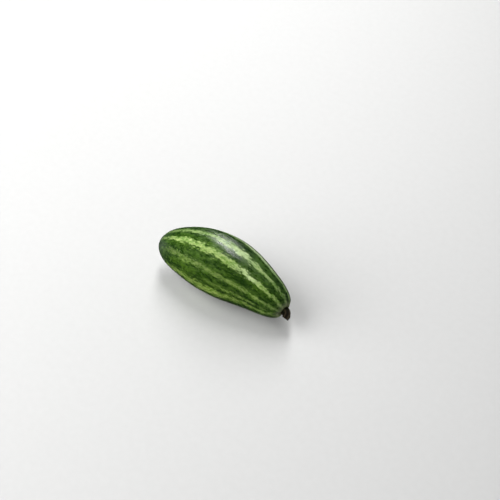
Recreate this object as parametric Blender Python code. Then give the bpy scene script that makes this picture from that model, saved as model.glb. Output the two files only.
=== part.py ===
"""A pointed gourd as picked: the ribbed green fruit, and the dry stub of its stalk.

Run it with: blender --background --python part.py

Metres, +Z up. The fruit lies on its side on a small flat spot. The origin is on that spot, +X runs
along the fruit towards the stalk, and Z = 0 is the surface that it lies on.
"""

import math

import bmesh
import bpy
from mathutils import Euler, Vector, noise

# Driving dimensions of the fruit
FRUIT_LENGTH = 0.0915
FRUIT_DIAMETER = 0.0374
BOW_HEIGHT = 0.0067  # how far the middle stands off the straight line between the two ends
REST_DEPTH = 0.00040  # how much of the belly the resting spot takes off

# How the fruit lies
BOW_DIRECTION = math.radians(60)  # from +Y up towards +Z
PITCH = math.radians(0.8)  # stalk end down

# The outline is an ellipse, made leaner towards the stalk and a little towards the blossom end.
# Places along the fruit run from -1, the blossom end, to 1, the stalk end.
STALK_LEANNESS, STALK_LEAN_AT, STALK_LEAN_SPREAD = 0.155, 0.60, 0.45
BLOSSOM_LEANNESS, BLOSSOM_LEAN_AT, BLOSSOM_LEAN_SPREAD = 0.045, -0.65, 0.30

# Relief of the skin
RIB_COUNT = 10
RIB_HEIGHT = 0.00016
RIB_CROWDING = math.radians(4)  # how far at most a rib is shifted towards the side that bows out
OVALNESS = 0.012
UNEVENNESS = 0.00035
UNEVEN_SIZE = 0.026
DIMPLE_DEPTH, DIMPLE_RADIUS = 0.0032, 0.0046  # where the stalk sits
NUB_HEIGHT, NUB_RADIUS = 0.0009, 0.0017  # what the flower leaves at the other end

# Mesh of the fruit
AROUND_STEPS = 80
POLAR_STEPS = 44
POLE_CROWDING = 0.25  # rings stand closer towards the two ends

# The stub of the stalk
STUB_LENGTH = 0.0051
STUB_RADIUS = 0.0024
STUB_SEAT = 0.0022  # its foot is this far inside the fruit's end
STUB_LEAN = Vector((-0.0027, -0.0021, -0.0010))  # how far its cut end is off the straight
STUB_FLARE, STUB_FLARE_SPREAD = 0.04, 0.28  # how much wider its foot is
STUB_WEAR, STUB_WEAR_SPREAD = 0.16, 0.20  # how much narrower its worn end is
STUB_TAPER = 0.12  # how much narrower it grows from foot to end
STUB_STEPS = 9
STUB_RIDGES = 5
STUB_RIDGE_SHARE = 0.14
STUB_SECTION_STEPS = 20

CUTTER_MARGIN = 0.02

SKIN_COLOUR, SKIN_ROUGHNESS = (0.075, 0.150, 0.022), 0.42
STALK_COLOUR, STALK_ROUGHNESS = (0.070, 0.050, 0.024), 0.85

HALF_LENGTH = FRUIT_LENGTH / 2
BEND_RADIUS = HALF_LENGTH**2 / (2 * BOW_HEIGHT)


def clear_scene():
    for item in list(bpy.data.objects):
        bpy.data.objects.remove(item, do_unlink=True)


def collection(name):
    made = bpy.data.collections.new(name)
    bpy.context.scene.collection.children.link(made)
    return made


def material(name, colour, roughness):
    made = bpy.data.materials.new(name)
    made.use_nodes = True
    shader = made.node_tree.nodes["Principled BSDF"]
    shader.inputs["Base Color"].default_value = (*colour, 1)
    shader.inputs["Roughness"].default_value = roughness
    shader.inputs["Metallic"].default_value = 0
    made.diffuse_color = (*colour, 1)
    return made


def hump(place, middle, spread):
    """A smooth bump of height 1."""
    return math.exp(-(((place - middle) / spread) ** 2))


def bent(along, out, side):
    """A point of the straight fruit, with the fruit's line bent to an arc and laid down.

    along runs towards the stalk, out the way that the fruit bows, and side across both.
    """
    angle = along / BEND_RADIUS
    reach = BEND_RADIUS + out
    point = Vector((reach * math.sin(angle), reach * math.cos(angle) - BEND_RADIUS, side))
    point.rotate(Euler((BOW_DIRECTION, 0, 0)))
    point.rotate(Euler((0, PITCH, 0)))
    return point


def outline(place):
    """Half the fruit's width against its greatest, on top of the ellipse."""
    lean = STALK_LEANNESS * hump(place, STALK_LEAN_AT, STALK_LEAN_SPREAD)
    lean += BLOSSOM_LEANNESS * hump(place, BLOSSOM_LEAN_AT, BLOSSOM_LEAN_SPREAD)
    return 1 - lean


def skin_point(polar, around):
    """The skin at a polar angle from the blossom end and an angle round the fruit."""
    place = -math.cos(polar)
    girth = math.sin(polar)
    radius = FRUIT_DIAMETER / 2 * girth * outline(place)
    radius *= 1 + OVALNESS * math.cos(2 * around)
    rib_angle = around + RIB_CROWDING * math.sin(around)
    radius += RIB_HEIGHT * math.sqrt(girth) * girth * math.cos(RIB_COUNT * rib_angle)
    along = HALF_LENGTH * place
    out = radius * math.cos(around)
    side = radius * math.sin(around)
    radius += UNEVENNESS * girth * noise.noise(Vector((along, out, side)) / UNEVEN_SIZE)
    along -= DIMPLE_DEPTH * hump(radius, 0, DIMPLE_RADIUS) * (place > 0)
    along -= NUB_HEIGHT * hump(radius, 0, NUB_RADIUS) * (place < 0)
    return bent(along, radius * math.cos(around), radius * math.sin(around))


def crowded(polar):
    """An even polar angle, moved so that rings stand closer at the two ends."""
    return polar - POLE_CROWDING * math.sin(2 * polar)


def make_fruit(into, look):
    """The fruit's closed skin: a sphere whose every point is moved to the gourd's own form."""
    form = bmesh.new()
    bmesh.ops.create_uvsphere(form, u_segments=AROUND_STEPS, v_segments=POLAR_STEPS, radius=1)
    for vertex in form.verts:
        polar = crowded(math.acos(max(-1, min(1, vertex.co.z))))
        around = math.atan2(vertex.co.y, vertex.co.x)
        vertex.co = skin_point(polar, around)
    bmesh.ops.recalc_face_normals(form, faces=form.faces)
    mesh = bpy.data.meshes.new("fruit")
    form.to_mesh(mesh)
    form.free()
    mesh.shade_smooth()
    mesh.materials.append(look)
    fruit = bpy.data.objects.new("fruit", mesh)
    into.objects.link(fruit)
    return fruit


def make_rest_cutter(into):
    """The block below Z = 0 that leaves the belly its flat resting spot."""
    side = FRUIT_LENGTH + 2 * CUTTER_MARGIN
    bpy.ops.mesh.primitive_cube_add(size=side, location=(0, 0, -side / 2))
    cutter = bpy.context.object
    cutter.name = "rest_cutter"
    for owner in list(cutter.users_collection):
        owner.objects.unlink(cutter)
    into.objects.link(cutter)
    cutter.hide_render = True
    cutter.display_type = "WIRE"
    return cutter


def flatten_belly(fruit, cutter):
    cut = fruit.modifiers.new("resting_spot", "BOOLEAN")
    cut.operation = "DIFFERENCE"
    cut.object = cutter
    cut.solver = "EXACT"


def poly_curve(name, points, cyclic=False):
    """A curve of straight runs through points, each with a width factor as its fourth number."""
    data = bpy.data.curves.new(name, "CURVE")
    data.dimensions = "3D"
    spline = data.splines.new("POLY")
    spline.points.add(len(points) - 1)
    for target, (x, y, z, width) in zip(spline.points, points):
        target.co = (x, y, z, 1)
        target.radius = width
    spline.use_cyclic_u = cyclic
    return data


def stub_section():
    """The ridged outline that the stub is drawn with."""
    points = []
    for step in range(STUB_SECTION_STEPS):
        angle = -2 * math.pi * step / STUB_SECTION_STEPS  # clockwise, so that its sides face out
        radius = STUB_RADIUS * (1 + STUB_RIDGE_SHARE * math.cos(STUB_RIDGES * angle))
        points.append((radius * math.cos(angle), radius * math.sin(angle), 0, 1))
    return poly_curve("stub_section", points, cyclic=True)


def stub_width(share):
    """The stub's width from its foot, share 0, to its cut end, share 1."""
    foot = STUB_FLARE * hump(share, 0, STUB_FLARE_SPREAD)
    wear = STUB_WEAR * hump(share, 1, STUB_WEAR_SPREAD)
    return 1 + foot - wear - STUB_TAPER * share


def make_stub(into, guides, look):
    """The dry stub: a ridged section drawn along a short line that leans over to its cut end."""
    section = bpy.data.objects.new("stub_section", stub_section())
    section.hide_render = True
    section.display_type = "WIRE"
    guides.objects.link(section)
    points = []
    for step in range(STUB_STEPS):
        share = step / (STUB_STEPS - 1)
        straight = bent(HALF_LENGTH - STUB_SEAT + STUB_LENGTH * share, 0, 0)
        points.append((*(straight + STUB_LEAN * share**2), stub_width(share)))
    line = poly_curve("stalk_stub", points)
    line.bevel_mode = "OBJECT"
    line.bevel_object = section
    line.use_fill_caps = True
    line.materials.append(look)
    stub = bpy.data.objects.new("stalk_stub", line)
    into.objects.link(stub)
    return stub


def main():
    clear_scene()
    gourd = collection("pointed_gourd")
    guides = collection("cutters")
    green = material("green_skin", SKIN_COLOUR, SKIN_ROUGHNESS)
    brown = material("dry_stalk", STALK_COLOUR, STALK_ROUGHNESS)

    fruit = make_fruit(gourd, green)
    stub = make_stub(gourd, guides, brown)

    lowest = min((vertex.co for vertex in fruit.data.vertices), key=lambda co: co.z)
    ground = bpy.data.objects.new("ground_point", None)
    gourd.objects.link(ground)
    ground.location = (-lowest.x, -lowest.y, -lowest.z - REST_DEPTH)
    for piece in (fruit, stub):
        piece.parent = ground
    flatten_belly(fruit, make_rest_cutter(guides))


main()
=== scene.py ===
"""The looks of a pointed gourd: its striped waxy skin, and the dry, fibrous stub of its stalk.

Metres, +Z up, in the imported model's own frame: the gourd lies on Z = 0 and +X runs towards its stalk.
The fruit's form follows the same formulas as the solid that it replaces, in a finer mesh with finer
relief. Places along the fruit run from -1, the blossom end, to 1, the stalk end, and angles round it
count from the side that bows out.
"""

import math

import bmesh
import bpy
from mathutils import Euler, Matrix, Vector, noise


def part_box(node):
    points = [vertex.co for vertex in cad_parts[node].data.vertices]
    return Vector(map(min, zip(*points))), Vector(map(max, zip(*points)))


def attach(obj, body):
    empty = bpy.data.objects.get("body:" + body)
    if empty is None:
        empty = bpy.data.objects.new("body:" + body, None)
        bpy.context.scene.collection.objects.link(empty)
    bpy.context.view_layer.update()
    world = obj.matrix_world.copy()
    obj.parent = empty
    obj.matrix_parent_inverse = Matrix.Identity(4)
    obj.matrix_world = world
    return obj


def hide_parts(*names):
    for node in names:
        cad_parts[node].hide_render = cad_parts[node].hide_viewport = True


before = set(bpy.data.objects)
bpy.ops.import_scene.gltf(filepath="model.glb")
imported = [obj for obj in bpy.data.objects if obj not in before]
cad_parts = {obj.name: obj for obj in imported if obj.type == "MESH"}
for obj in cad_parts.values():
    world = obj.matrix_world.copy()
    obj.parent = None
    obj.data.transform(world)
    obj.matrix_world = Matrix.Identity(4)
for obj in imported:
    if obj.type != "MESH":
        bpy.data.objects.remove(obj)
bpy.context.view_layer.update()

# The fruit's form, as in the solid
FRUIT_LENGTH = 0.0915
FRUIT_DIAMETER = 0.0374
BOW_HEIGHT = 0.0067
BOW_DIRECTION = math.radians(60)
PITCH = math.radians(0.8)
STALK_LEANNESS, STALK_LEAN_AT, STALK_LEAN_SPREAD = 0.155, 0.60, 0.45
BLOSSOM_LEANNESS, BLOSSOM_LEAN_AT, BLOSSOM_LEAN_SPREAD = 0.045, -0.65, 0.30
RIB_COUNT = 10
RIB_HEIGHT = 0.00016
RIB_CROWDING = math.radians(4)
OVALNESS = 0.012
UNEVENNESS, UNEVEN_SIZE = 0.00035, 0.026
DIMPLE_DEPTH, DIMPLE_RADIUS = 0.0032, 0.0046
NUB_HEIGHT, NUB_RADIUS = 0.0009, 0.0017
POLE_CROWDING = 0.25
HALF_LENGTH = FRUIT_LENGTH / 2
BEND_RADIUS = HALF_LENGTH**2 / (2 * BOW_HEIGHT)

# The stub's form, as in the solid
STUB_LENGTH = 0.0051
STUB_RADIUS = 0.0024
STUB_SEAT = 0.0022
STUB_LEAN = Vector((-0.0027, -0.0021, -0.0010))
STUB_FLARE, STUB_FLARE_SPREAD = 0.04, 0.28
STUB_WEAR, STUB_WEAR_SPREAD = 0.16, 0.20
STUB_TAPER = 0.12
STUB_RIDGES = 5
STUB_RIDGE_SHARE = 0.14

# The skin's finer mesh and its finer relief, which all goes inwards
FRUIT_AROUND_STEPS = 336
FRUIT_POLAR_STEPS = 260
DENTS = ((0.0100, 0.00016), (0.0034, 0.00007))  # size and depth
PUCKER_DEPTH, PUCKER_RADIUS, PUCKER_SPREAD = 0.00045, 0.0044, 0.0018
PUCKER_WAVES, PUCKER_SHIFT = 3, 2  # how often round the dimple its folds crowd together, and how much
SCAR_DEPTH, SCAR_RADIUS = 0.00050, 0.0008
SCAR_FOLDS, SCAR_FOLD_DEPTH = 6, 0.00022
CORK_RADIUS = 0.0040  # how far the skin is corky round the stalk
COLLAR_SPREAD = 0.0014  # how wide the pale lip of the dimple is
BELLY_SOFTNESS = 0.00008  # how rounded the edge of the resting spot is
SUNNY_ANGLE = math.radians(115)  # where the skin between the stripes is at its yellowest

# The pale stripes: the angle round the fruit in degrees, how far it turns from end to end, half the
# width in millimetres, how pale it is, how torn its edges are, the place from which it shows on towards
# the stalk, and the places where it is widest and palest
STRIPES = (
    (24, 3, 1.75, 0.88, 1.35, -0.95, 0.08, 0.28),
    (53, 7, 1.80, 0.94, 1.45, -1.02, -0.15, 0.43),
    (87, 4, 1.35, 0.36, 1.40, -0.80, -0.50, 0.65),
    (109, 2, 0.80, 0.26, 1.60, -0.10, 0.45, 0.40),
    (127, -8, 1.95, 0.54, 1.45, -0.84, -0.10, 0.10),
    (161, 3, 1.45, 0.86, 1.15, -0.90, -0.35, -0.20),
    (180, -3, 0.55, 0.30, 1.60, -0.30, 0.20, 0.20),
    (197, -4, 1.60, 0.68, 1.35, -0.82, -0.15, 0.25),
    (233, 6, 1.40, 0.92, 1.15, -0.95, -0.40, 0.10),
    (268, -4, 1.65, 0.70, 1.35, -0.84, -0.20, -0.25),
    (286, 3, 0.55, 0.28, 1.60, -0.50, 0.25, 0.20),
    (309, 5, 1.50, 0.92, 1.15, -0.93, -0.45, 0.30),
    (350, -2, 1.60, 1.00, 0.90, -0.90, 0.15, 0.30),
)
STRIPE_BULGE, STRIPE_BULGE_SPREAD = 0.48, 0.36  # how much wider it is at its widest place
STRIPE_LEAST_WIDTH = 0.30  # the share of its width that it keeps where the fruit ends
STRIPE_FADE = 0.14  # how far along the fruit it takes to show in full
STRIPE_PALENESS, STRIPE_PALEST, STRIPE_PALEST_SPREAD = 0.80, 0.36, 0.28  # and what its palest place adds
STRIPE_MIDDLE, STRIPE_MIDDLE_REACH, STRIPE_END_FADE = 0.05, 0.45, 0.60  # it is less pale past the middle
STRIPE_MOST_SHOWN = 1.2  # the palest that it gets
NO_STRIPE_NEAR = -4  # what stands for skin further than this from every stripe

# Unevenness of a stripe's angle, width and paleness: how much, how fast it changes along the fruit, and
# from stripe to stripe, and a seed
ANGLE_CHANGE = (math.radians(2.2), 1.7, 5.3, 0.4)
WIDTH_CHANGE = (0.30, 3.1, 2.9, 7.7)
PALENESS_CHANGE = (0.30, 2.3, 4.1, 3.3)

# The skin's colours, as a pair where they change towards the sunny side
DEEP_GREENS = (0.0050, 0.0270, 0.0008), (0.0075, 0.0290, 0.0002)
FRESH_GREENS = (0.0290, 0.0880, 0.0060), (0.0470, 0.1050, 0.0025)
# the first of each stripe pair is bluer: partly the stripes' own mint green, partly a painted bluish sheen on
# the stripes away from the sunny side
STRIPE_AND_SHEEN_GREENS = (0.150, 0.280, 0.095), (0.155, 0.275, 0.032)
PALE_AND_SHEEN_GREENS = (0.420, 0.560, 0.290), (0.400, 0.520, 0.115)
PALEST_GREEN = (0.580, 0.700, 0.400)
FLECK_GREEN = (0.140, 0.250, 0.040)
LIP_GREEN = (0.200, 0.230, 0.110)
# painted sheen: the grey-green that the blossom end is greyed towards
SHEEN_GREY_GREEN = (0.034, 0.053, 0.032)
CORK_BROWN = (0.095, 0.075, 0.032)
SCAR_BROWN = (0.030, 0.020, 0.010)
SHEEN_START, SHEEN_SHARE = -0.030, 0.85  # where the painted sheen of the blossom end starts, and its share

# The skin's patterns: their size along and across the fruit, and a seed
PATCHES = (0.0120, 0.0045, 0)
MOTTLE = (0.0038, 0.0015, 11)
SPECKLE = (0.0013, 0.0007, 29)
TEARS = (0.0058, 0.0019, 3)
NICKS = (0.0017, 0.0008, 7)
GRAIN = (0.00060, 0.00045, 31)
FLECKS = ((0.0021, 0.0011, 23, 0.62, 0.45), (0.0011, 0.0006, 41, 0.48, 0.28))  # and how rare, how strong
SKIN_BUMP = 0.00024

# The finer stub
STUB_AROUND_STEPS = 180
STUB_RINGS = 40
STUB_END_RINGS = 9
STUB_ROOT = 0.30  # how far its foot goes on into the dimple, as a share of its length
STUB_NUDGE = 0.01  # the small step along its line that gives its direction there
STUB_FIBRES = ((6, 1.0, 1.3), (15, 0.6, 2.1), (36, 0.5, 3.2))  # how fine, how high, how fast they change
STUB_FIBRE_DEPTH, STUB_FIBRE_SINK = 0.07, 0.7  # how high they stand, and how far they are set inwards
STUB_END_DEPTH = 0.0007
STUB_RAGGEDNESS, STUB_TEAR_START = 0.0003, 0.6  # how deep its rim is torn, and where the tears start
STUB_TEAR_LEVEL, STUB_TEAR_NOTCHES, STUB_TEAR_FIBRES = 0.5, 2.6, 0.5  # mean depth, closeness, fibrousness
STUB_RIDGE_LIGHT, STUB_FIBRE_LIGHT = 0.35, 0.5  # how much ridges and fibres count for the painted shade and highlights in its colour
STUB_END_SHARES = 2  # over the broken end, the share that the material reads goes on from 1 by this much

# The stalk's colours and patterns, with painted shade in its grooves and painted highlights on its ridges
GROOVE_SHADE_BROWN, BARK_BROWN, RIDGE_HIGHLIGHT_BROWN = (0.004, 0.003, 0.0015), (0.036, 0.027, 0.012), (0.054, 0.040, 0.022)
ROOT_GREEN, RIM_BROWN, PITH_BROWN = (0.026, 0.036, 0.010), (0.045, 0.035, 0.020), (0.018, 0.012, 0.007)
STALK_BLOTCHES = (0.0016, 0.0016, 0)
STALK_GRAIN = (0.0009, 0.00025, 5)
STALK_BUMP = 0.00015

# Camera: its angle round the gourd and above it, and where it aims across its own view
CAMERA_AZIMUTH = math.radians(36.32)
CAMERA_ELEVATION = math.radians(45)
CAMERA_DISTANCE = 0.7231
CAMERA_RIGHT = 0.01688
CAMERA_UP = 0.02083
CAMERA_LENS = 90
CAMERA_SENSOR = 36

# Lights: their way from the gourd, to the camera's right, up and back, then distance, size and power
KEY_LIGHT = (0.05, 0.985, 0.14), 0.8, (0.18, 0.80), 5.8
FILL_LIGHT = (-0.82, 0.34, 0.46), 0.85, (1.0, 1.0), 13.0
RIM_LIGHT = (-0.90, 0.15, -0.42), 0.9, (0.4, 0.4), 0.22
ROOM_COLOUR, ROOM_LIGHT = (0.95, 0.98, 1.0, 1), 0.045

# The floor is flat to one radius, and sweeps up to a low wall at the other
FLOOR_RADIUS, WALL_RADIUS, WALL_HEIGHT = 2.2, 3.6, 1.3
FLOOR_SIDES = 96
SWEEP_STEPS = 16
FLOOR_GREYS = (0.56, 0.56, 0.555), (0.59, 0.59, 0.585)
FLOOR_GRAIN = (0.004, 0.004, 0)
BACKDROP_START, BACKDROP_FULL, BACKDROP_LIGHT = 0.4, 1.5, 0.72  # how the far floor and the wall are lit


def hump(place, middle, spread):
    """A smooth bump of height 1."""
    return math.exp(-(((place - middle) / spread) ** 2))


def clamped(value, most=1):
    """The value, kept between 0 and the most."""
    return max(0, min(most, value))


def bent(along, out, side):
    """A point of the straight fruit, with the fruit's line bent to an arc and laid down."""
    angle = along / BEND_RADIUS
    reach = BEND_RADIUS + out
    point = Vector((reach * math.sin(angle), reach * math.cos(angle) - BEND_RADIUS, side))
    point.rotate(Euler((BOW_DIRECTION, 0, 0)))
    point.rotate(Euler((0, PITCH, 0)))
    return point


def outline(place):
    """Half the fruit's width against its greatest, on top of the ellipse."""
    lean = STALK_LEANNESS * hump(place, STALK_LEAN_AT, STALK_LEAN_SPREAD)
    lean += BLOSSOM_LEANNESS * hump(place, BLOSSOM_LEAN_AT, BLOSSOM_LEAN_SPREAD)
    return 1 - lean


def skin_radius(place, girth, around):
    """The fruit's radius with its ribs and unevenness, and the finer dents taken off it."""
    radius = FRUIT_DIAMETER / 2 * girth * outline(place)
    radius *= 1 + OVALNESS * math.cos(2 * around)
    rib_angle = around + RIB_CROWDING * math.sin(around)
    radius += RIB_HEIGHT * math.sqrt(girth) * girth * math.cos(RIB_COUNT * rib_angle)
    spot = Vector((HALF_LENGTH * place, radius * math.cos(around), radius * math.sin(around)))
    radius += UNEVENNESS * girth * noise.noise(spot / UNEVEN_SIZE)
    for size, depth in DENTS:
        radius -= depth * girth * (0.5 + 0.5 * noise.noise(spot / size))
    return radius


def skin_along(place, radius, around):
    """How far along the fruit a skin point lies, with the dimple and the nub and their finer folds."""
    along = HALF_LENGTH * place
    if place > 0:
        fold = 0.5 - 0.5 * math.cos(RIB_COUNT * around + PUCKER_SHIFT * math.sin(PUCKER_WAVES * around))
        along -= DIMPLE_DEPTH * hump(radius, 0, DIMPLE_RADIUS)
        along -= PUCKER_DEPTH * fold * hump(radius, PUCKER_RADIUS, PUCKER_SPREAD)
    else:
        fold = 0.5 + 0.5 * math.cos(SCAR_FOLDS * around)
        along -= NUB_HEIGHT * hump(radius, 0, NUB_RADIUS)
        along += SCAR_DEPTH * hump(radius, 0, SCAR_RADIUS)
        along += SCAR_FOLD_DEPTH * fold * hump(radius, NUB_RADIUS, SCAR_RADIUS)
    return along


def uneven(place, index, amount, pace, spacing, seed):
    """A smooth random change along one stripe, by at most the amount either way."""
    return amount * noise.noise(Vector((pace * place, spacing * index, seed)))


def stripe_run(place, girth):
    """Every stripe at one place along the fruit: its angle, half width in metres, paleness and tornness."""
    run = []
    for index, (angle, turn, half_width, pale, torn, start, widest, palest) in enumerate(STRIPES):
        centre = math.radians(angle + turn / 2 * place) + uneven(place, index, *ANGLE_CHANGE)
        width = 1 + STRIPE_BULGE * hump(place, widest, STRIPE_BULGE_SPREAD)
        width *= 1 + uneven(place, index, *WIDTH_CHANGE)
        width *= STRIPE_LEAST_WIDTH + (1 - STRIPE_LEAST_WIDTH) * girth
        shown = pale * (STRIPE_PALENESS + STRIPE_PALEST * hump(place, palest, STRIPE_PALEST_SPREAD))
        shown *= 1 - STRIPE_END_FADE * max(0, abs(place - STRIPE_MIDDLE) - STRIPE_MIDDLE_REACH)
        shown *= (1 + uneven(place, index, *PALENESS_CHANGE)) * clamped((place - start) / STRIPE_FADE)
        run.append((centre, half_width / 1000 * width, clamped(shown, STRIPE_MOST_SHOWN), torn))
    return run


def nearest_stripe(run, around, radius):
    """The nearest stripe: 1 on its middle line and 0 at its edge, then its paleness and its tornness."""
    best, found = NO_STRIPE_NEAR, (0, 1)
    for centre, half_width, pale, torn in run:
        turn = abs((around - centre + math.pi) % (2 * math.pi) - math.pi)
        near = 1 - turn * radius / half_width
        if near > best:
            best, found = near, (pale, torn)
    return best, *found


def end_marks(place, girth, around, radius):
    """How much a skin point is lip of the dimple, how corky it is, and how much it faces the sunny side."""
    collar = hump(radius, DIMPLE_RADIUS, COLLAR_SPREAD) * (place > 0)
    corky = hump(radius, 0, NUB_RADIUS if place < 0 else CORK_RADIUS)
    sunny = 0.5 + 0.5 * math.cos(around - SUNNY_ANGLE) * girth
    return collar, corky, sunny


def as_mesh(name, form):
    """The form as a mesh, with its faces turned outwards."""
    form.normal_update()
    bmesh.ops.recalc_face_normals(form, faces=form.faces)
    mesh = bpy.data.meshes.new(name)
    form.to_mesh(mesh)
    form.free()
    return mesh


def join_rings(form, rows):
    """Adds the faces between each ring of vertices and the next."""
    count = len(rows[0])
    for row, after in zip(rows, rows[1:]):
        for k in range(count):
            beside = (k + 1) % count
            form.faces.new((row[k], row[beside], after[beside], after[k]))


def new_piece(name, mesh, material):
    piece = bpy.data.objects.new(name, mesh)
    bpy.context.scene.collection.objects.link(piece)
    mesh.shade_smooth()
    mesh.materials.append(material)
    return piece


def store(mesh, name, kind, values):
    """Keeps one value for each vertex, for the material to read."""
    field = {"FLOAT": "value", "FLOAT_VECTOR": "vector"}[kind]
    flat = values if kind == "FLOAT" else [number for value in values for number in value]
    mesh.attributes.new(name, kind, "POINT").data.foreach_set(field, flat)


def crowded(polar):
    """An even polar angle, moved so that rings stand closer at the two ends."""
    return polar - POLE_CROWDING * math.sin(2 * polar)


def fruit_shift(points):
    """The move that lays the fruit where the solid lies: their tops level, and centred as seen from above."""
    low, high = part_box("fruit")
    middle_x = (min(point.x for point in points) + max(point.x for point in points)) / 2
    middle_y = (min(point.y for point in points) + max(point.y for point in points)) / 2
    top = max(point.z for point in points)
    return Vector(((low.x + high.x) / 2 - middle_x, (low.y + high.y) / 2 - middle_y, high.z - top))


def softly_above_ground(height):
    """Flattens what would lie below Z = 0 to it, with a rounded edge."""
    return (height + math.sqrt(height**2 + BELLY_SOFTNESS**2)) / 2


def make_fruit(material):
    """The skin: a sphere whose every point is moved to the gourd's form. Returns it and its last shift."""
    form = bmesh.new()
    bmesh.ops.create_uvsphere(form, u_segments=FRUIT_AROUND_STEPS, v_segments=FRUIT_POLAR_STEPS, radius=1)
    points, straight, stripes, ends = [], [], [], []
    runs = {}  # the stripes, worked out once for each ring
    for vertex in form.verts:
        polar = crowded(math.acos(max(-1, min(1, vertex.co.z))))
        around = math.atan2(vertex.co.y, vertex.co.x)
        place, girth = -math.cos(polar), math.sin(polar)
        radius = skin_radius(place, girth, around)
        along = skin_along(place, radius, around)
        out, side = radius * math.cos(around), radius * math.sin(around)
        points.append(bent(along, out, side))
        straight.append((along, out, side))
        ring = round(polar, 5)
        if ring not in runs:
            runs[ring] = stripe_run(place, girth)
        stripes.append(nearest_stripe(runs[ring], around, radius))
        ends.append(end_marks(place, girth, around, radius))
    shift = fruit_shift(points)
    for vertex, point in zip(form.verts, points):
        x, y, z = point + shift
        vertex.co = (x, y, softly_above_ground(z))
    mesh = as_mesh("gourd_skin", form)
    store(mesh, "straight", "FLOAT_VECTOR", straight)
    store(mesh, "stripes", "FLOAT_VECTOR", stripes)
    store(mesh, "ends", "FLOAT_VECTOR", ends)
    return new_piece("gourd_skin", mesh, material), shift


def stub_width(share):
    """The stub's width from its foot, share 0, to its broken end, share 1."""
    foot = STUB_FLARE * hump(share, 0, STUB_FLARE_SPREAD)
    wear = STUB_WEAR * hump(share, 1, STUB_WEAR_SPREAD)
    return 1 + foot - wear - STUB_TAPER * share


def stub_line(share):
    """A point on the stub's middle line."""
    straight = bent(HALF_LENGTH - STUB_SEAT + STUB_LENGTH * share, 0, 0)
    return straight + STUB_LEAN * max(share, 0) ** 2


def stub_ring(share, sink, narrowing):
    """One ring of the stub: its points, and how high each stands on its ridge, from 0 to 1."""
    middle = stub_line(share)
    forwards = (stub_line(share + STUB_NUDGE) - stub_line(share - STUB_NUDGE)).normalized()
    across = forwards.cross(Vector((0, 0, 1))).normalized()
    upwards = across.cross(forwards)
    points, heights = [], []
    for step in range(STUB_AROUND_STEPS):
        angle = 2 * math.pi * step / STUB_AROUND_STEPS
        ridge = math.cos(STUB_RIDGES * angle)
        around = Vector((math.cos(angle), math.sin(angle), 0))
        fibre = 0
        for fineness, height, change in STUB_FIBRES:
            fibre += height * noise.noise(around * fineness + Vector((0, 0, change * share)))
        relief = STUB_RIDGE_SHARE * ridge + STUB_FIBRE_DEPTH * (fibre - STUB_FIBRE_SINK)
        radius = STUB_RADIUS * stub_width(share) * (1 + relief)
        tear = STUB_RAGGEDNESS * max(0, share - STUB_TEAR_START) / (1 - STUB_TEAR_START)
        tear *= STUB_TEAR_LEVEL + noise.noise(around * STUB_TEAR_NOTCHES) + STUB_TEAR_FIBRES * fibre
        spoke = across * math.cos(angle) + upwards * math.sin(angle)
        points.append(middle + spoke * radius * narrowing - forwards * (sink + max(0, tear)))
        # how high the point stands, for the painted shade and highlights of the stalk's colour
        heights.append(clamped(0.5 + STUB_RIDGE_LIGHT * ridge + STUB_FIBRE_LIGHT * fibre))
    return points, heights


def stub_rings():
    """Each ring's share of the stub's length, how far it is sunk into the end, and its narrowing."""
    rings = []
    for step in range(STUB_RINGS):
        rings.append((-STUB_ROOT + (1 + STUB_ROOT) * step / (STUB_RINGS - 1), 0, 1))
    for step in range(1, STUB_END_RINGS + 1):
        inwards = step / (STUB_END_RINGS + 1)
        rings.append((1, STUB_END_DEPTH * math.sin(inwards * math.pi / 2), 1 - inwards))
    return rings


def make_stub(shift, material):
    """The stub: rings from its root in the dimple to the broken end, and over its rim to the dry pith."""
    form = bmesh.new()
    rows, heights, shares = [], [], []
    for share, sink, narrowing in stub_rings():
        points, ridge_heights = stub_ring(share, sink, narrowing)
        rows.append([form.verts.new(point + shift) for point in points])
        heights += ridge_heights
        if narrowing < 1:
            share = 1 + STUB_END_SHARES * (1 - narrowing)
        shares += [share] * len(points)
    join_rings(form, rows)
    form.faces.new(list(reversed(rows[0])))
    form.faces.new(rows[-1])
    mesh = as_mesh("dry_stalk_stub", form)
    store(mesh, "ridge", "FLOAT", heights)
    store(mesh, "share", "FLOAT", shares)
    return new_piece("dry_stalk_stub", mesh, material)


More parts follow.
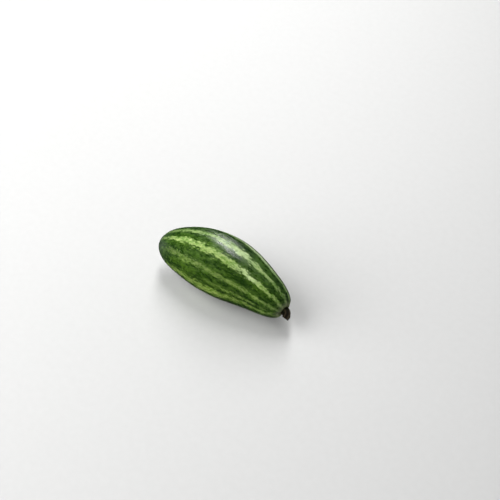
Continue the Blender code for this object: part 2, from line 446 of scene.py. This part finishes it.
class Shader:
    """One material, and short ways to add its nodes. Most methods return the new node's output."""

    def __init__(self, name):
        self.material = bpy.data.materials.new(name)
        self.material.use_nodes = True
        self.tree = self.material.node_tree
        self.surface = self.tree.nodes["Principled BSDF"]

    def feed(self, socket, value):
        """Links the socket to another node's output, or sets its own value."""
        if isinstance(value, bpy.types.NodeSocket):
            self.tree.links.new(value, socket)
        else:
            socket.default_value = value

    def attribute(self, name, output="Fac"):
        node = self.tree.nodes.new("ShaderNodeAttribute")
        node.attribute_name = name
        return node.outputs[output]

    def position(self):
        return self.tree.nodes.new("ShaderNodeTexCoord").outputs["Object"]

    def parts(self, vector):
        node = self.tree.nodes.new("ShaderNodeSeparateXYZ")
        self.feed(node.inputs[0], vector)
        return node.outputs

    def stretched(self, vector, along, across, seed):
        """Coordinates that grow by one every along metres along the fruit, and every across metres across."""
        node = self.tree.nodes.new("ShaderNodeVectorMath")
        node.operation = "MULTIPLY_ADD"
        self.feed(node.inputs[0], vector)
        node.inputs[1].default_value = (1 / along, 1 / across, 1 / across)
        node.inputs[2].default_value = (seed, seed, seed)
        return node.outputs[0]

    def noise(self, vector, detail=2.0, roughness=0.5):
        node = self.tree.nodes.new("ShaderNodeTexNoise")
        self.feed(node.inputs["Vector"], vector)
        node.inputs["Scale"].default_value = 1
        node.inputs["Detail"].default_value = detail
        node.inputs["Roughness"].default_value = roughness
        return node.outputs["Fac"]

    def cells(self, vector):
        """Scattered cells: how far their middle is, and a random number for each."""
        node = self.tree.nodes.new("ShaderNodeTexVoronoi")
        self.feed(node.inputs["Vector"], vector)
        node.inputs["Scale"].default_value = 1
        return node.outputs["Distance"], self.parts(node.outputs["Color"])[0]

    def maths(self, operation, first, second):
        node = self.tree.nodes.new("ShaderNodeMath")
        node.operation = operation
        self.feed(node.inputs[0], first)
        self.feed(node.inputs[1], second)
        return node.outputs[0]

    def total(self, start, *terms):
        """start plus each value times its weight."""
        for value, weight in terms:
            start = self.maths("ADD", start, self.maths("MULTIPLY", value, weight))
        return start

    def step(self, value, low, high, start=0.0, end=1.0):
        """A smooth step from start at low to end at high."""
        node = self.tree.nodes.new("ShaderNodeMapRange")
        node.interpolation_type = "SMOOTHSTEP"
        for socket, number in zip(node.inputs, (value, low, high, start, end)):
            self.feed(socket, number)
        return node.outputs[0]

    def mixed(self, share, first, second):
        """Two colours, mixed."""
        node = self.tree.nodes.new("ShaderNodeMix")
        node.data_type = "RGBA"
        self.feed(node.inputs[0], share)
        for socket, colour in ((node.inputs[6], first), (node.inputs[7], second)):
            self.feed(socket, (*colour, 1) if isinstance(colour, tuple) else colour)
        return node.outputs[2]

    def bump(self, height, distance):
        node = self.tree.nodes.new("ShaderNodeBump")
        self.feed(node.inputs["Height"], height)
        node.inputs["Distance"].default_value = distance
        self.feed(self.surface.inputs["Normal"], node.outputs[0])

    def finish(self, **values):
        """Sets the surface's own values, such as Roughness=0.5; an underscore stands for a space."""
        for name, value in values.items():
            self.feed(self.surface.inputs[name.replace("_", " ")], value)
        return self.material


def skin_material():
    """Dark green skin with ragged pale stripes, flecks and mottling, under a thin satin bloom of wax."""
    skin = Shader("gourd_skin")
    straight = skin.attribute("straight", "Vector")
    stripe, shown, torn = skin.parts(skin.attribute("stripes", "Vector"))
    collar, corky, sunny = skin.parts(skin.attribute("ends", "Vector"))

    # Between the stripes: dark green, mottled with lighter green that grows yellower on one side
    patches = skin.noise(skin.stretched(straight, *PATCHES), 3.0, 0.55)
    mottle = skin.noise(skin.stretched(straight, *MOTTLE), 2.0, 0.55)
    speckle = skin.noise(skin.stretched(straight, *SPECKLE), 2.0, 0.55)
    deep = skin.mixed(sunny, *DEEP_GREENS)
    fresh = skin.mixed(sunny, *FRESH_GREENS)
    lightness = skin.total(-1.83, (patches, 1.5), (mottle, 1.4), (speckle, 0.7), (sunny, 0.06))
    ground = skin.mixed(skin.step(lightness, -0.25, 0.50), deep, fresh)

    # The stripes: pale green, with torn edges and darker islands
    tears = skin.noise(skin.stretched(straight, *TEARS), 3.0, 0.6)
    nicks = skin.noise(skin.stretched(straight, *NICKS), 2.0, 0.6)
    rough_edge = skin.total(-2.05, (tears, 2.4), (nicks, 1.7))
    reach = skin.total(0.10, (stripe, 1.0), (skin.maths("MULTIPLY", rough_edge, torn), 1.0))
    body = skin.step(reach, 0.00, 0.72)
    halo = skin.step(reach, -0.95, 0.45)
    tint = skin.total(-0.95, (mottle, 1.0), (speckle, 0.9))
    # The stripes turn bluer away from the sunny side: partly their own colour, partly painted sheen
    green = skin.mixed(sunny, *STRIPE_AND_SHEEN_GREENS)
    pale = skin.mixed(sunny, *PALE_AND_SHEEN_GREENS)
    pale_green = skin.mixed(skin.step(tint, -0.18, 0.22), green, pale)
    palest = skin.step(shown, 0.80, STRIPE_MOST_SHOWN, 0.0, 0.7)
    pale_green = skin.mixed(palest, pale_green, PALEST_GREEN)
    ground = skin.mixed(skin.maths("MULTIPLY", halo, skin.maths("MULTIPLY", shown, 0.55)), ground, fresh)
    colour = skin.mixed(skin.maths("MULTIPLY", body, shown), ground, pale_green)

    # Small pale flecks in the dark skin, in two sizes
    for along, across, seed, rarity, strength in FLECKS:
        distance, chance = skin.cells(skin.stretched(straight, along, across, seed))
        size = skin.step(skin.total(0, (chance, 1.0), (halo, 0.25)), rarity, 1.15, 0.0, 0.42)
        fleck = skin.step(skin.maths("SUBTRACT", size, distance), 0.0, 0.12)
        colour = skin.mixed(skin.maths("MULTIPLY", fleck, strength), colour, FLECK_GREEN)

    # The pale lip of the dimple, and the brown cork round the stalk and where the flower was
    lip = skin.maths("MULTIPLY", collar, skin.step(mottle, 0.30, 0.65, 0.35, 0.90))
    colour = skin.mixed(lip, colour, LIP_GREEN)
    cork = skin.total(-0.15, (corky, 1.0), (mottle, 0.3))
    colour = skin.mixed(skin.step(cork, 0.35, 0.80), colour, CORK_BROWN)
    colour = skin.mixed(skin.step(cork, 0.85, 1.00, 0.0, 0.7), colour, SCAR_BROWN)

    # Painted sheen: the blossom end greyed in blotches, standing for its grey shine
    blossom_sheen = skin.step(skin.parts(straight)[0], SHEEN_START, -HALF_LENGTH, 0.0, SHEEN_SHARE)
    sheen_blotches = skin.maths("MULTIPLY", blossom_sheen, skin.step(mottle, 0.38, 0.62, 0.45, 1.0))
    colour = skin.mixed(sheen_blotches, colour, SHEEN_GREY_GREEN)

    # Relief finer than the mesh, and wax that is duller where the skin is corky
    grain = skin.noise(skin.stretched(straight, *GRAIN), 2.0, 0.6)
    relief = skin.total(0, (mottle, 0.6), (speckle, 0.38), (grain, 0.18), (body, 0.12))
    skin.bump(relief, SKIN_BUMP)
    bloom = skin.step(skin.total(0, (mottle, 0.6), (speckle, 0.4)), 0.37, 0.63, 0.24, 0.43)
    roughness = skin.total(bloom, (corky, 0.25), (collar, 0.15))
    return skin.finish(Base_Color=colour, Roughness=roughness, IOR=1.45, Specular_IOR_Level=0.75)


def stalk_material():
    """Dry brown stalk, with painted shade that makes it nearly black in its grooves and painted highlights
    that make it browner on its ridges, and greenish at its root.
    """
    stalk = Shader("dry_stalk")
    ridge = stalk.attribute("ridge")
    share = stalk.attribute("share")
    spot = stalk.position()
    blotches = stalk.noise(stalk.stretched(spot, *STALK_BLOTCHES), 3.0, 0.6)
    grain = stalk.noise(stalk.stretched(spot, *STALK_GRAIN), 3.0, 0.6)
    # Painted shade: darker towards the grooves, by how high each point stands on its ridge, among the real
    # blotches and grain
    bark_and_groove_shade = stalk.total(-0.35, (ridge, 0.6), (blotches, 0.6), (grain, 0.4))
    colour = stalk.mixed(stalk.step(bark_and_groove_shade, 0.1, 0.9), GROOVE_SHADE_BROWN, BARK_BROWN)
    # Painted highlights: lighter on the crests of the ridges
    crest_highlight = stalk.total(-0.20, (ridge, 1.0), (grain, 0.4))
    colour = stalk.mixed(stalk.step(crest_highlight, 0.55, 0.95, 0.0, 0.60), colour, RIDGE_HIGHLIGHT_BROWN)
    colour = stalk.mixed(stalk.step(share, -0.05, 0.30, 0.40, 0.0), colour, ROOT_GREEN)
    colour = stalk.mixed(stalk.step(share, 0.97, 1.10, 0.0, 0.60), colour, RIM_BROWN)
    colour = stalk.mixed(stalk.step(share, 1.9, 2.7, 0.0, 0.8), colour, PITH_BROWN)
    stalk.bump(stalk.total(0, (grain, 1.0), (blotches, 0.5)), STALK_BUMP)
    return stalk.finish(Base_Color=colour, Roughness=stalk.step(grain, 0.3, 0.7, 0.75, 0.92), IOR=1.4)


def floor_material():
    """Pale matt paper that glows where it is far from the gourd, as an evenly lit backdrop."""
    floor = Shader("floor")
    spot = floor.position()
    colour = floor.mixed(floor.noise(floor.stretched(spot, *FLOOR_GRAIN)), *FLOOR_GREYS)
    distance = floor.tree.nodes.new("ShaderNodeVectorMath")
    distance.operation = "LENGTH"
    floor.feed(distance.inputs[0], spot)
    glow = floor.step(distance.outputs["Value"], BACKDROP_START, BACKDROP_FULL, 0.0, BACKDROP_LIGHT)
    return floor.finish(Base_Color=colour, Roughness=0.7, Emission_Color=(1, 1, 1, 1), Emission_Strength=glow)


def make_floor():
    """A round floor whose rim sweeps up, so that no horizon shows behind the gourd."""
    form = bmesh.new()
    rows = []
    for step in range(SWEEP_STEPS + 1):
        turn = math.pi / 2 * step / SWEEP_STEPS
        radius = FLOOR_RADIUS + (WALL_RADIUS - FLOOR_RADIUS) * math.sin(turn)
        height = WALL_HEIGHT * (1 - math.cos(turn))
        row = []
        for side in range(FLOOR_SIDES):
            angle = 2 * math.pi * side / FLOOR_SIDES
            row.append(form.verts.new((radius * math.cos(angle), radius * math.sin(angle), height)))
        rows.append(row)
    form.faces.new(list(reversed(rows[0])))
    join_rings(form, rows)
    floor = new_piece("floor", as_mesh("floor", form), floor_material())
    floor.visible_glossy = False  # the skin then keeps its depth of green on its lower side


def camera_axes():
    """The camera's right, its up, and the way back from the gourd to it."""
    turn, rise = CAMERA_AZIMUTH, CAMERA_ELEVATION
    right = Vector((math.cos(turn), math.sin(turn), 0))
    back = Vector((math.sin(turn) * math.cos(rise), -math.cos(turn) * math.cos(rise), math.sin(rise)))
    return right, back.cross(right), back


def make_camera():
    right, up, back = camera_axes()
    camera = bpy.data.objects.new("camera", bpy.data.cameras.new("camera"))
    bpy.context.scene.collection.objects.link(camera)
    camera.location = back * CAMERA_DISTANCE + right * CAMERA_RIGHT + up * CAMERA_UP
    camera.rotation_euler = (-back).to_track_quat("-Z", "Y").to_euler()
    camera.data.lens = CAMERA_LENS
    camera.data.sensor_width = CAMERA_SENSOR
    camera.data.clip_start = 0.01
    bpy.context.scene.camera = camera


def softbox(name, way, distance, size, power):
    """A rectangular light that looks at the gourd, from a way given along the camera's axes."""
    right, up, back = camera_axes()
    direction = (right * way[0] + up * way[1] + back * way[2]).normalized()
    light = bpy.data.objects.new(name, bpy.data.lights.new(name, "AREA"))
    bpy.context.scene.collection.objects.link(light)
    light.location = direction * distance
    light.rotation_euler = direction.to_track_quat("Z", "Y").to_euler()
    light.data.shape = "RECTANGLE"
    light.data.size, light.data.size_y = size
    light.data.energy = power
    return light


def make_lights():
    """A strip behind and above, a broad fill from the left, a faint light on the far rim, and a dim room."""
    softbox("key", *KEY_LIGHT)
    fill = softbox("fill", *FILL_LIGHT)
    fill.visible_glossy = False  # as through a polarising filter, so that the green keeps its depth
    softbox("rim", *RIM_LIGHT)
    world = bpy.data.worlds.new("room")
    world.use_nodes = True
    sky = world.node_tree.nodes["Background"]
    sky.inputs["Color"].default_value = ROOM_COLOUR
    sky.inputs["Strength"].default_value = ROOM_LIGHT
    bpy.context.scene.world = world
    bpy.context.scene.view_settings.view_transform = "Standard"


def main():
    make_camera()
    make_lights()
    make_floor()
    skin, shift = make_fruit(skin_material())
    stub = make_stub(shift, stalk_material())
    for piece, node, slot in ((skin, "fruit", "green_skin"), (stub, "stalk_stub", "dry_stalk")):
        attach(piece, "root")
        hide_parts(node)


main()
